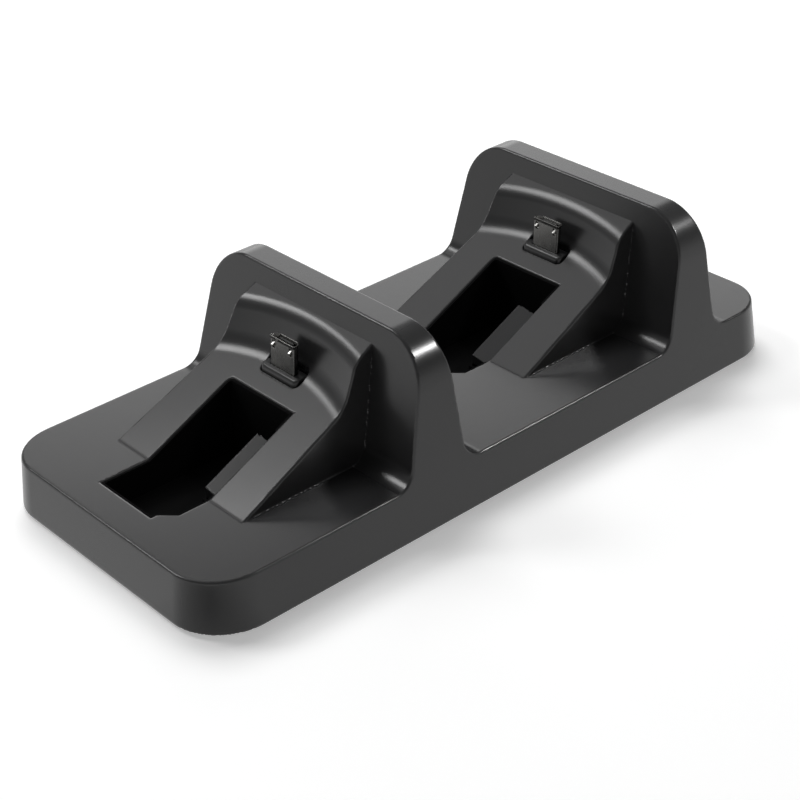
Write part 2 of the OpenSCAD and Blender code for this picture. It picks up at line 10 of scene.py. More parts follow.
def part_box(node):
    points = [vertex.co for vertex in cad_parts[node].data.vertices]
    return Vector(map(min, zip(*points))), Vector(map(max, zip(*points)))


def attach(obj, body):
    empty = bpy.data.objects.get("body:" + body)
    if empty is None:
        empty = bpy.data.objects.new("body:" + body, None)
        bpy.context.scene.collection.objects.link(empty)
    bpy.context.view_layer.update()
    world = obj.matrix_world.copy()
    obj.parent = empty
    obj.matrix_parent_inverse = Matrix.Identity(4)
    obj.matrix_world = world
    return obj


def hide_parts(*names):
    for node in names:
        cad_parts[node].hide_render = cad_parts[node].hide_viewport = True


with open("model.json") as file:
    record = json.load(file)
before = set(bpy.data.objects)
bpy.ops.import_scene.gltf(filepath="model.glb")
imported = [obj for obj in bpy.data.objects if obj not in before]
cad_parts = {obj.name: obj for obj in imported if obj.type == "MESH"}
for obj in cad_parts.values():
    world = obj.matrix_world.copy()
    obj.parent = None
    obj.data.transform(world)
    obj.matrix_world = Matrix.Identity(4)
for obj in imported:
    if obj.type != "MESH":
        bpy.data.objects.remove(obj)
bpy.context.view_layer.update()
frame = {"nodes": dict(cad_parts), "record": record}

millimetre = 0.001
scene = bpy.context.scene

# One reading of the dock's sizes, in millimetres, in the frame's own axes
dock = {
    "width": 66.0, "length": 144.0, "cornerRadius": 11.0, "underside": 0.8, "flat": 10.8,
    "draft": math.radians(6.4), "skin": 2.0, "edge": 0.4, "undersideEdge": 0.3,
}
rest = {
    "faces": (-27.1, 39.9), "top": 35.8, "thick": 13.3, "frontLean": math.radians(14.3),
    "backLean": math.radians(3.4), "cornerRadius": 9.9, "sweep": 4.0,
}
cradle = {
    "reach": 26.9, "halfWidth": 19.05, "draft": math.radians(5.5), "slope": math.radians(25.0),
    "lip": 5.4, "scoopRadius": 58.0, "lipReach": 36.06, "scoopLean": math.radians(49.0),
    "scoopSweep": 7.0, "edge": 0.35, "lipEdge": 1.2, "crease": 0.02, "toeBlend": 0.13, "toeReach": 4.0,
    "depth": 4.5,
}
pocket = {
    "halfWidth": 9.2, "front": 10.2, "back": 19.6, "cornerWidth": 2.8, "cornerLength": 3.9,
    "rearCorner": 1.1, "edge": 0.25, "bottom": 3.8, "ledgeWidths": (4.3, 5.6), "ledgeDrop": 1.2,
    "ledgeStarts": (2.2, 0.6), "ledgeEnds": (14.6, 13.7), "ledgeTilt": 0.14, "ledgeEdge": 0.15,
    "ledgeInset": 0.05,
}
plug = {
    "width": 6.85, "thick": 1.8, "length": 5.7, "root": 3.0, "lean": math.radians(5.5), "place": 25.4,
    "gripHeight": 12.194, "gripWidth": 10.4, "gripFront": 2.0, "gripBack": 1.4, "gripLength": 6.0,
    "gap": 0.15, "slotOver": 2.0, "slotEdge": 0.2,
}
toes = [face - cradle["reach"] for face in rest["faces"]]


# Inner corner of two distances rounded by r: where both are above -r the two merge along a circle
def roundMax(a, b, r):
    return np.minimum(-r, np.maximum(a, b)) + np.hypot(np.maximum(a + r, 0), np.maximum(b + r, 0))


# Two distances joined: the lower of them, less a quarter of k where they are equal, which fades by the
# square of how far apart they are and ends at k
def blendMin(a, b, k):
    near = np.maximum(k - np.abs(a - b), 0) / k
    return np.minimum(a, b) - near * near * k / 4


# Distance to the drafted sides: a rounded rectangle whose corner radius shrinks with height
def sideDistance(x, y, z, inset):
    cx = dock["width"] / 2 - dock["cornerRadius"]
    cy = dock["length"] / 2 - dock["cornerRadius"]
    qx, qy = np.abs(x) - cx, np.abs(y) - cy
    radius = dock["cornerRadius"] - inset - (z - dock["underside"]) * math.tan(dock["draft"])
    flatDistance = np.hypot(np.maximum(qx, 0), np.maximum(qy, 0)) + np.minimum(np.maximum(qx, qy), 0)
    return (flatDistance - radius) * math.cos(dock["draft"])


# Distance to a back rest's front view: drafted sides, a level top and true circles at its corners
def restOutline(x, z):
    r, draft = rest["cornerRadius"], dock["draft"]
    cz = rest["top"] - r
    side = dock["width"] / 2 - (z - dock["underside"]) * math.tan(draft)
    cx = dock["width"] / 2 - (cz - dock["underside"]) * math.tan(draft) - r / math.cos(draft)
    px, pz = np.abs(x) - cx, z - cz
    inCorner = (px > 0) & (pz * math.cos(draft) - px * math.sin(draft) > 0)
    planes = np.maximum((np.abs(x) - side) * math.cos(draft), z - rest["top"])
    return np.where(inCorner, np.hypot(px, pz) - r, planes)


# Distance to the flat with a face that rises from it at y = 0, leaning away, through a round sweep
def sweptFace(y, z, lean):
    r, h = rest["sweep"], z - dock["flat"]
    back = r * (1 - math.sin(lean)) / math.cos(lean)
    py, pz = y + back, h - r
    inSweep = (py > 0) & (py * math.sin(lean) + pz * math.cos(lean) < 0)
    face = (h * math.tan(lean) - y) * math.cos(lean)
    return np.where(inSweep, r - np.hypot(py, pz), np.minimum(face, h))


# Distance to the flat and both back rests, as a side view
def restsProfile(y, z):
    rests = [np.maximum(sweptFace(y - face, z, rest["frontLean"]),
                        sweptFace(face + rest["thick"] - y, z, rest["backLean"])) for face in rest["faces"]]
    return np.minimum(*rests)


# Distance to a cradle: a slope, a scoop turned about a line square to it, and a lip
def cradleDistance(x, y, z, toe):
    slope, lean = cradle["slope"], cradle["scoopLean"]
    along, height = y - toe, z - dock["flat"]
    u = along * math.cos(slope) + height * math.sin(slope)
    h = height * math.cos(slope) - along * math.sin(slope)
    radius = np.hypot(x, u - (cradle["lipReach"] - cradle["scoopRadius"]))
    wallFoot = cradle["scoopRadius"] - cradle["lip"] * math.tan(lean)
    sweepFoot = wallFoot - cradle["scoopSweep"] * math.tan((math.pi / 2 - lean) / 2)
    pr, ph = radius - sweepFoot, h - cradle["scoopSweep"]
    inSweep = (pr > 0) & (pr * math.sin(lean) + ph * math.cos(lean) < 0)
    wall = (wallFoot + h * math.tan(lean) - radius) * math.cos(lean)
    scoop = np.where(inSweep, cradle["scoopSweep"] - np.hypot(pr, ph), np.minimum(wall, h))
    scoop = roundMax(scoop, h - cradle["lip"], cradle["lipEdge"])
    side = cradle["halfWidth"] - height * math.tan(cradle["draft"])
    body = roundMax(scoop, (np.abs(x) - side) * math.cos(cradle["draft"]), cradle["edge"])
    ends = np.maximum(-cradle["depth"] - height, along - cradle["reach"] - rest["thick"] / 2)
    return np.maximum(body, ends)


# Distance to the dock's closed outer form, its underside left open. Each cradle's toe blends into the flat
def outerForm(x, y, z):
    sides = np.maximum(sideDistance(x, y, z, 0), restOutline(x, z))
    form = roundMax(restsProfile(y, z), sides, dock["edge"])
    for toe in toes:
        blend = cradle["crease"] + cradle["toeBlend"] * np.clip(1 - (y - toe) / cradle["toeReach"], 0, 1)
        form = blendMin(form, cradleDistance(x, y, z, toe), blend)
    return form


# Distance to a pocket's outline from above, its closed corner left out and its rear left corner rounded
def pocketOutline(x, along):
    right = pocket["halfWidth"]
    cx, cy = right - pocket["cornerWidth"], pocket["cornerLength"] / 3 - pocket["front"]
    run, rise = pocket["cornerWidth"], pocket["cornerLength"] * 2 / 3
    slant = (run * (along - cy) - rise * (x - cx)) / math.hypot(run, rise)
    rearLeft = roundMax(-right - x, along - pocket["back"], pocket["rearCorner"])
    box = np.maximum(np.maximum(x - right, -pocket["front"] - along), rearLeft)
    return np.maximum(box, -np.maximum(cx - x, slant))


# Distance to a pocket's ledge: a bar under the slope, square to it, whose top falls a little to the right
def ledgeDistance(x, y, z, k):
    along, height = y - toes[k], z - dock["flat"]
    h = height * math.cos(cradle["slope"]) - along * math.sin(cradle["slope"])
    left = pocket["halfWidth"] - pocket["ledgeWidths"][k]
    top = roundMax(h + pocket["ledgeDrop"] + (x - left) * pocket["ledgeTilt"], left - x, pocket["edge"])
    under = np.maximum(-pocket["ledgeDrop"] - dock["skin"] - h, x - pocket["halfWidth"] - dock["skin"])
    ends = np.maximum(pocket["ledgeStarts"][k] - along, along - pocket["ledgeEnds"][k])
    return roundMax(np.maximum(top, under), ends, pocket["ledgeEdge"])


# A point in a plug's own frame: its distances across the dock, behind the plug's middle, and out along it
def plugFrame(x, y, z, toe):
    ay, az = y - toe - plug["place"], z - plug["gripHeight"] - dock["flat"]
    return (x, ay * math.cos(plug["lean"]) - az * math.sin(plug["lean"]),
            ay * math.sin(plug["lean"]) + az * math.cos(plug["lean"]))


# Distance to a rounded rectangle about the origin
def roundedRectangle(a, b, width, height, corner):
    qa, qb = np.abs(a) - width / 2 + corner, np.abs(b) - height / 2 + corner
    return np.hypot(np.maximum(qa, 0), np.maximum(qb, 0)) + np.minimum(np.maximum(qa, qb), 0) - corner


# Distance to the grip's outline seen along its plug
def gripOutline(x, across):
    middle = (plug["gripBack"] - plug["gripFront"]) / 2
    return roundedRectangle(x, across - middle, plug["gripWidth"], plug["gripFront"] + plug["gripBack"], 1)


# Distance to the slot for a plug's grip: the grip's outline with a gap, carried along the leaning plug
def plugSlot(x, y, z, toe):
    x, across, out = plugFrame(x, y, z, toe)
    half = plug["gripLength"] / 2
    return np.maximum(gripOutline(x, across) - plug["gap"], np.abs(out + half) - half - plug["slotOver"])


# Middle of a CAD node's box, in millimetres
def middle(node):
    low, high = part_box(node)
    return [(low[i] + high[i]) / 2 / millimetre for i in range(3)]


posts = {
    "case": [middle(f"case_screw_{place}_{side}")[:2] for place in ("front", "middle", "rear")
             for side in ("left", "right")],
    "caseRadius": 2.5, "caseBore": 1.15, "caseFoot": 2.8, "caseBoreTop": 8.0,
    "board": [middle(f"board_screw_{place}")[:2] for place in ("front", "middle", "rear")],
    "boardRadius": 2.0, "boardBore": 0.85, "boardFoot": 6.0, "boardBoreTop": 8.2,
    "plugSide": 8.1, "plugRadius": 1.9, "plugBoreLength": 2.4,
}
inlet = {
    "width": 7.8, "height": 2.8, "corner": 0.9, "edge": 0.25, "inner": 66.0,
    "middle": middle("inlet_shell")[2],
}
cover = {"rim": 1.1, "thick": 2.0}


# Distance to a group of upright posts or bores, from above
def nearest(x, y, places, radius):
    distance = np.hypot(x - places[0][0], y - places[0][1])
    for px, py in places[1:]:
        distance = np.minimum(distance, np.hypot(x - px, y - py))
    return distance - radius


# Distance to the whole upper housing: a skin under the outer form, its posts, and what is cut through it
def housingDistance(x, y, z):
    form = outerForm(x, y, z)
    solid = np.maximum(form, -dock["skin"] - form)
    casePosts = np.maximum(nearest(x, y, posts["case"], posts["caseRadius"]), posts["caseFoot"] - z)
    boardPosts = np.maximum(nearest(x, y, posts["board"], posts["boardRadius"]), posts["boardFoot"] - z)
    upright = np.minimum(casePosts, boardPosts)
    for toe in toes:
        side, across, out = plugFrame(x, y, z, toe)
        fromAxis = np.hypot(np.abs(side) - posts["plugSide"], across)
        upright = np.minimum(upright, np.maximum(fromAxis - posts["plugRadius"], -plug["gripLength"] - out))
        bore = np.maximum(fromAxis - posts["boardBore"], out + plug["gripLength"] - posts["plugBoreLength"])
        upright = np.maximum(upright, -bore)
    caseBore = np.maximum(nearest(x, y, posts["case"], posts["caseBore"]), z - posts["caseBoreTop"])
    boardBore = np.maximum(nearest(x, y, posts["board"], posts["boardBore"]), z - posts["boardBoreTop"])
    upright = np.maximum(upright, -np.minimum(caseBore, boardBore))
    solid = np.minimum(solid, np.maximum(upright, form + dock["skin"] / 2))
    for k, toe in enumerate(toes):
        solid = roundMax(solid, -np.maximum(pocketOutline(x, y - toe), pocket["bottom"] - z), pocket["edge"])
        solid = np.minimum(solid, np.maximum(ledgeDistance(x, y, z, k), form + pocket["ledgeInset"]))
        solid = roundMax(solid, -plugSlot(x, y, z, toe), plug["slotEdge"])
    mouth = roundedRectangle(x, z - inlet["middle"], inlet["width"], inlet["height"], inlet["corner"])
    solid = roundMax(solid, -np.maximum(mouth, inlet["inner"] - y), inlet["edge"])
    rebate = roundedRectangle(x, y, dock["width"] - 2 * cover["rim"], dock["length"] - 2 * cover["rim"],
                              dock["cornerRadius"] - cover["rim"])
    solid = np.maximum(solid, -np.maximum(rebate, z - dock["underside"] - cover["thick"]))
    return roundMax(solid, dock["underside"] - z, dock["undersideEdge"])


# How a field becomes a mesh: the longest move in a round of settling (mm), the reach over which a crease is
# felt (grid steps), where the planes beside it are taken and how far a point may move to it (reaches), the
# least squared slope that settling divides by, the squared slope under which a point is at a crease, and a
# small hold that keeps a point still where no plane pulls.
net = {
    "stride": 0.33, "creaseReach": 0.45, "planeReach": 0.8, "moveReach": 1.3, "leastSlope": 0.2,
    "creaseSlope": 0.87, "hold": 0.05, "quickStep": 1.6, "quickDivide": 2,
}


# Where a field is zero, as a net of quads: one point for each grid cell that the surface crosses, at the
# mean of its edges' crossings, and one quad for each grid edge that it crosses
def netSurface(field, low, high, step):
    axes = [np.arange(a, b + step, step, dtype=np.float32) for a, b in zip(low, high)]
    x, y, z = np.meshgrid(*axes, indexing="ij", sparse=True)
    f = field(x, y, z).astype(np.float32)
    inside = f < 0
    cells = np.zeros([n - 1 for n in f.shape], np.int8)
    corners = [(a, b, c) for a in (0, 1) for b in (0, 1) for c in (0, 1)]
    for a, b, c in corners:
        cells += inside[a:a + cells.shape[0], b:b + cells.shape[1], c:c + cells.shape[2]]
    i, j, k = np.nonzero((cells > 0) & (cells < 8))
    number = np.full(cells.shape, -1, np.int32)
    number[i, j, k] = np.arange(len(i))
    total, count = np.zeros((len(i), 3)), np.zeros(len(i))
    for p in corners:
        for axis in range(3):
            if p[axis] == 0:
                q = tuple(p[n] + (n == axis) for n in range(3))
                fp = f[i + p[0], j + p[1], k + p[2]]
                fq = f[i + q[0], j + q[1], k + q[2]]
                crossed = (fp < 0) != (fq < 0)
                share = np.where(crossed, fp / np.where(crossed, fp - fq, 1), 0)
                point = np.tile(np.array(p, float), (len(i), 1))
                point[:, axis] += share
                total += point * crossed[:, None]
                count += crossed
    points = (total / count[:, None] + np.stack([i, j, k], axis=1)) * step + np.array(low)
    quads = []
    for axis in range(3):
        u, v = (axis + 1) % 3, (axis + 2) % 3
        first, second = [slice(1, -1)] * 3, [slice(1, -1)] * 3
        first[axis], second[axis] = slice(0, -1), slice(1, None)
        here, there = inside[tuple(first)], inside[tuple(second)]
        at = np.stack(np.nonzero(here != there), axis=1)
        turned = there[tuple(at.T)]
        at[:, u] += 1
        at[:, v] += 1
        ring = []
        for du, dv in ((-1, -1), (0, -1), (0, 0), (-1, 0)):
            cell = at.copy()
            cell[:, u] += du
            cell[:, v] += dv
            ring.append(number[tuple(cell.T)])
        ring = np.stack(ring, axis=1)
        quads.append(np.where(turned[:, None], ring[:, ::-1], ring))
    return points, np.concatenate(quads)


# Slope of a field at points, by central differences
def slopeOf(field, points, reach=0.02):
    parts = []
    for axis in range(3):
        shift = np.zeros(3)
        shift[axis] = reach
        ahead, behind = (points + shift).T, (points - shift).T
        parts.append((field(*ahead) - field(*behind)) / (2 * reach))
    return np.stack(parts, axis=1)


# Moves points onto a field's surface, along its slope, by at most a third of a millimetre a round
def settle(field, points, rounds):
    for _ in range(rounds):
        slope = slopeOf(field, points)
        squared = np.maximum((slope ** 2).sum(axis=1), net["leastSlope"])
        move = -slope * (field(*points.T) / squared)[:, None]
        length = np.sqrt((move ** 2).sum(axis=1))
        points = points + move * np.minimum(1, net["stride"] / np.maximum(length, 1e-9))[:, None]
    return points


# Whether each point is at a sharp crease or edge: over a wide reach its slope comes out well under 1
def isSharp(field, points, reach):
    return (slopeOf(field, points, reach) ** 2).sum(axis=1) < net["creaseSlope"]


# Moves points beside a sharp crease onto it: to the place nearest, by least squares, to the planes that
# touch the surface at eight points around
def sharpen(field, points, reach):
    beside = np.nonzero(isSharp(field, points, reach))[0]
    start = points[beside]
    planes, pull = np.tile(np.identity(3) * net["hold"], (len(start), 1, 1)), np.zeros((len(start), 3))
    for shift in ((a, b, c) for a in (-1, 1) for b in (-1, 1) for c in (-1, 1)):
        at = settle(field, start + np.array(shift) * reach * net["planeReach"], 2)
        normal = slopeOf(field, at)
        normal /= np.maximum(np.sqrt((normal ** 2).sum(axis=1)), 1e-9)[:, None]
        planes += normal[:, :, None] * normal[:, None, :]
        pull += normal * ((at - start) * normal).sum(axis=1)[:, None]
    move = np.linalg.solve(planes, pull[:, :, None])[:, :, 0]
    length = np.sqrt((move ** 2).sum(axis=1))
    points = points.copy()
    longest = net["moveReach"] * reach
    points[beside] = start + move * np.minimum(1, longest / np.maximum(length, 1e-9))[:, None]
    return points


# A mesh object from points in millimetres and faces with the same number of corners
def meshObject(name, points, faces):
    mesh = bpy.data.meshes.new(name)
    mesh.vertices.add(len(points))
    mesh.vertices.foreach_set("co", (points * millimetre).astype(np.float32).ravel())
    corners = faces.shape[1]
    mesh.loops.add(faces.size)
    mesh.loops.foreach_set("vertex_index", faces.astype(np.int32).ravel())
    mesh.polygons.add(len(faces))
    mesh.polygons.foreach_set("loop_start", np.arange(0, faces.size, corners, dtype=np.int32))
    mesh.update(calc_edges=True)
    mesh.validate()
    piece = bpy.data.objects.new(name, mesh)
    scene.collection.objects.link(piece)
    return piece


# An object's mesh with its modifiers applied
def applied(piece):
    bpy.context.view_layer.update()
    shaped = bpy.data.meshes.new_from_object(piece.evaluated_get(bpy.context.evaluated_depsgraph_get()))
    piece.modifiers.clear()
    piece.data = shaped
    return piece


# One attribute of a mesh's elements as an array
def read(elements, attribute, size=1, kind=np.float64):
    values = np.empty(len(elements) * size, kind)
    elements.foreach_get(attribute, values)
    return values.reshape(-1, size) if size > 1 else values


# When a corner takes its slope further in: past this turn off its triangle, if a side is longer than this
# (mm), or where the cosine of the turn is under "agree". It goes in by a share of the way to the triangle's
# middle, and by at most so far (mm)
shading = {"turn": math.radians(8), "longSide": 1.2, "agree": 0.3, "inShare": 0.35, "inMost": 0.8}


# Shades a triangle mesh by its field's slope. A corner takes the slope at its own point, but it takes one
# further in where its triangle is long and lies well off that slope, as on a flat beside an edge, and at a
# sharp crease. A triangle that lies astride such a crease takes the slope at its middle
def shadeByField(mesh, points, field, axes, reach):
    corners = read(mesh.loops, "vertex_index", 1, np.int32).reshape(-1, 3)
    slope = slopeOf(field, points)
    slope /= np.sqrt((slope ** 2).sum(axis=1))[:, None]
    at = points[corners]
    sides = np.sqrt(((at - np.roll(at, 1, axis=1)) ** 2).sum(axis=2))
    face = np.cross(at[:, 1] - at[:, 0], at[:, 2] - at[:, 0])
    face /= np.maximum(np.sqrt((face ** 2).sum(axis=1)), 1e-12)[:, None]
    normals = slope[corners]
    agree = (normals * face[:, None]).sum(axis=2)
    sharp = isSharp(field, points, reach)
    longSided = (sides.max(axis=1) > shading["longSide"])[:, None]
    off = (agree < math.cos(shading["turn"])) & longSided | (agree < shading["agree"]) | sharp[corners]
    inward = at.mean(axis=1)[:, None] - at
    length = np.maximum(np.sqrt((inward ** 2).sum(axis=2)), 1e-9)
    share = np.minimum(shading["inShare"], shading["inMost"] / length)[:, :, None]
    inner = slopeOf(field, (at + inward * share)[off])
    normals[off] = inner / np.maximum(np.sqrt((inner ** 2).sum(axis=1)), 1e-9)[:, None]
    centre = at.mean(axis=1)
    astride = isSharp(field, centre, reach)
    across = slopeOf(field, centre[astride])
    normals[astride] = (across / np.maximum(np.sqrt((across ** 2).sum(axis=1)), 1e-9)[:, None])[:, None]
    mesh.shade_smooth()
    mesh.normals_split_custom_set((normals.reshape(-1, 3) @ axes).astype(np.float32))


# A mesh piece from a field in millimetres: its net, thinned, settled on the surface and shaded by the
# field. frameOf turns the piece's own frame into the dock's: three axes and a place
def makePiece(name, field, low, high, step, triangles, slot, frameOf=None):
    reach = step * net["creaseReach"]
    points, quads = netSurface(field, low, high, step)
    points = sharpen(field, settle(field, points, 3), reach)
    a, b, c, d = quads.T
    shortDiagonal = ((points[a] - points[c]) ** 2).sum(axis=1) < ((points[b] - points[d]) ** 2).sum(axis=1)
    faces = np.where(shortDiagonal[:, None], np.stack([a, b, c, a, c, d], axis=1),
                     np.stack([a, b, d, b, c, d], axis=1)).reshape(-1, 3)
    piece = meshObject(name, points, faces)
    if len(faces) > triangles:
        thin = piece.modifiers.new("thin", "DECIMATE")
        thin.ratio = triangles / len(faces)
        applied(piece)
    mesh = piece.data
    points = sharpen(field, settle(field, read(mesh.vertices, "co", 3) / millimetre, 2), reach)
    axes, place = frameOf or (np.identity(3), np.zeros(3))
    mesh.vertices.foreach_set("co", ((points @ axes + place) * millimetre).astype(np.float32).ravel())
    mesh.update()
    shadeByField(mesh, points, field, axes, reach)
    finishPiece(piece, slot)
    return piece


# A piece rides on the dock and takes its slot's finish
def finishPiece(piece, slot):
    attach(piece, "root")
    piece.data.materials.clear()
    piece.data.materials.append(finishes[slot])
    print(piece.name + ":", len(piece.data.polygons), "faces")


# A merged copy of a CAD node whose sharp edges are rounded by a bevel
def softened(name, node, slot, width, segments=2):
    piece = bpy.data.objects.new(name, frame["nodes"][node].data.copy())
    scene.collection.objects.link(piece)
    shape = bmesh.new()
    shape.from_mesh(piece.data)
    bmesh.ops.remove_doubles(shape, verts=shape.verts, dist=2e-6)
    bmesh.ops.dissolve_limit(shape, angle_limit=math.radians(1), verts=shape.verts, edges=shape.edges)
    shape.to_mesh(piece.data)
    shape.free()
    bevel = piece.modifiers.new("bevel", "BEVEL")
    bevel.width, bevel.segments = width * millimetre, segments
    bevel.limit_method, bevel.angle_limit = "ANGLE", math.radians(32)
    piece.data.shade_smooth()
    even = piece.modifiers.new("even", "WEIGHTED_NORMAL")
    even.mode, even.weight = "FACE_AREA", 100
    applied(piece)
    finishPiece(piece, slot)
    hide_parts(node)
    return piece


# A socket's output whose sums are written with Python's own signs, each of which adds one Math node
class Wire:
    def __init__(self, finish, socket):
        self.finish, self.socket = finish, socket

    def __add__(self, other):
        return self.finish.maths("ADD", self, other)

    def __radd__(self, other):
        return self.finish.maths("ADD", other, self)

    def __sub__(self, other):
        return self.finish.maths("SUBTRACT", self, other)

    def __rsub__(self, other):
        return self.finish.maths("SUBTRACT", other, self)

    def __mul__(self, other):
        return self.finish.maths("MULTIPLY", self, other)

    def __rmul__(self, other):
        return self.finish.maths("MULTIPLY", other, self)

    def __truediv__(self, other):
        return self.finish.maths("DIVIDE", self, other)

    def __gt__(self, other):
        return self.finish.maths("GREATER_THAN", self, other)


# A material or a world under construction
class Finish:
    def __init__(self, owner):
        owner.use_nodes = True
        self.owner, self.tree = owner, owner.node_tree

    # Any node: its type, its settings, the values or wires of its sockets, and which output is wanted
    def node(self, kind, settings, sockets, output=0):
        made = self.tree.nodes.new("ShaderNode" + kind)
        for key, value in settings.items():
            setattr(made, key, value)
        for key, value in sockets.items():
            self.feed(made.inputs[key], value)
        return Wire(self, made.outputs[output])

    def feed(self, socket, value):
        if isinstance(value, Wire):
            self.tree.links.new(value.socket, socket)
        else:
            socket.default_value = value

    def maths(self, operation, a, b):
        return self.node("Math", {"operation": operation}, {0: a, 1: b})

    # Colour a where the share is 0 and colour b where it is 1
    def mix(self, share, a, b):
        return self.node("Mix", {"data_type": "RGBA"}, {0: share, 6: a, 7: b}, 2)

    # Place on the piece in metres, stretched along its axes
    def place(self, stretch=(1, 1, 1)):
        here = self.node("TexCoord", {}, {}, "Object")
        return self.node("Mapping", {}, {"Vector": here, "Scale": stretch})

    def noise(self, scale, detail=2, stretch=(1, 1, 1)):
        return self.node("TexNoise", {}, {"Vector": self.place(stretch), "Scale": scale, "Detail": detail})

    def bump(self, height, distance, strength=1.0):
        return self.node("Bump", {}, {"Height": height, "Distance": distance, "Strength": strength})

    # The sockets of the material's own shader, by name
    def surface(self, sockets):
        for key, value in sockets.items():
            self.feed(self.tree.nodes["Principled BSDF"].inputs[key], value)
        return self.owner


def newFinish(name):
    return Finish(bpy.data.materials.new(name))


# A tone and a share of it, as a colour
def shade(tone, share):
    return (*(part * share for part in tone), 1)


# Moulded plastic: fine spark-eroded grain in the bump, soft clouds in the tone and the gloss
def mouldedPlastic(name, look):
    made = newFinish(name)
    clouds = made.noise(look["cloud"], 3)
    grain = made.noise(look["grain"], 2)
    rub = made.noise(look["grain"] / 9, 3)
    tone = made.mix(clouds, shade(look["tone"], 1 - look["change"]), shade(look["tone"], 1 + look["change"]))
    rough = look["rough"] + (clouds - 0.5) * look["roughChange"] + (rub - 0.5) * look["roughChange"]
    height = grain + rub * 0.6
    return made.surface({"Base Color": tone, "Roughness": rough, "Specular IOR Level": look.get("shine", 0.5),
                         "Normal": made.bump(height, look["depth"])})


metalWear = {"dark": 0.82, "light": 1.1, "streakRough": 0.16, "patchRough": 0.14}


# Sheet metal: streaks drawn along the sheet, with dull patches
def sheetMetal(name, look):
    made = newFinish(name)
    streaks = made.noise(look["streak"], 3, look["along"])
    patches = made.noise(look["patch"], 3)
    tone = made.mix(patches, shade(look["tone"], metalWear["dark"]), shade(look["tone"], metalWear["light"]))
    drawn, dulled = (streaks - 0.5) * metalWear["streakRough"], (patches - 0.5) * metalWear["patchRough"]
    rough = look["rough"] + drawn + dulled
    return made.surface({"Base Color": tone, "Metallic": 1.0, "Roughness": rough,
                         "Normal": made.bump(streaks, look["depth"])})


rubberBloom = {"dark": 0.8, "light": 1.5, "rough": 0.72, "roughChange": 0.2, "ior": 1.45}


# Rubber: matt, with fine pores and a dusty bloom
def softRubber(name, look):
    made = newFinish(name)
    pores = made.noise(look["grain"], 4)
    bloom = made.noise(look["cloud"], 3)
    dark, light = shade(look["tone"], rubberBloom["dark"]), shade(look["tone"], rubberBloom["light"])
    tone = made.mix(bloom, dark, light)
    rough = rubberBloom["rough"] + bloom * rubberBloom["roughChange"]
    return made.surface({"Base Color": tone, "Roughness": rough, "IOR": rubberBloom["ior"],
                         "Normal": made.bump(pores, look["depth"])})


# Circuit board: green mask over square-cornered tracks, with tinned pads
def maskedBoard(name, look):
    made = newFinish(name)
    cells = made.node("TexVoronoi", {"distance": "CHEBYCHEV"},
                      {"Vector": made.place(), "Scale": look["cells"], "Randomness": 0.7})
    tracks = made.node("TexWave", {"wave_type": "RINGS"}, {"Vector": made.place(), "Scale": look["tracks"],
                                                         "Distortion": 3.0, "Detail": 0.0}, "Fac")
    track = tracks > 0.6
    pad = 1 - (cells > look["pad"])
    green = made.mix(track, shade(look["tone"], 0.75), shade(look["tone"], 1.5))
    return made.surface({"Base Color": made.mix(pad, green, (0.5, 0.5, 0.48, 1)), "Metallic": pad,
                         "Roughness": 0.3 + pad * 0.12 + made.noise(900, 2) * 0.1,
                         "Normal": made.bump(track + pad * 0.5, look["depth"])})


# Moulded epoxy or ferrite: close mineral grain with fine light specks
def mineralBlock(name, look):
    made = newFinish(name)
    grain = made.noise(look["grain"], 4)
    specks = made.node("TexVoronoi", {}, {"Vector": made.place(), "Scale": look["grain"] / 2})
    tone = made.mix(1 - (specks > 0.2), shade(look["tone"], 1), shade(look["tone"], 2.2))
    return made.surface({"Base Color": tone, "Roughness": 0.5 + grain * 0.25,
                         "Normal": made.bump(grain, look["depth"])})


# Flat lead: ribs along the lead, one over each conductor, with painted shade in the grooves between the ribs
# and their crests painted lighter
def ribbedSleeve(name, look):
    made = newFinish(name)
    ribs = made.node("TexWave", {"bands_direction": "Y"},
                     {"Vector": made.place(), "Scale": look["ribs"]}, "Fac")
    # The tone follows the ribs' relief: painted shade in the grooves, lighter on the crests
    tone = made.mix(ribs, shade(look["tone"], 0.7), shade(look["tone"], 1.1))
    return made.surface({"Base Color": tone, "Roughness": 0.42 + made.noise(1500, 2) * 0.14,
                         "Normal": made.bump(ribs, look["depth"])})


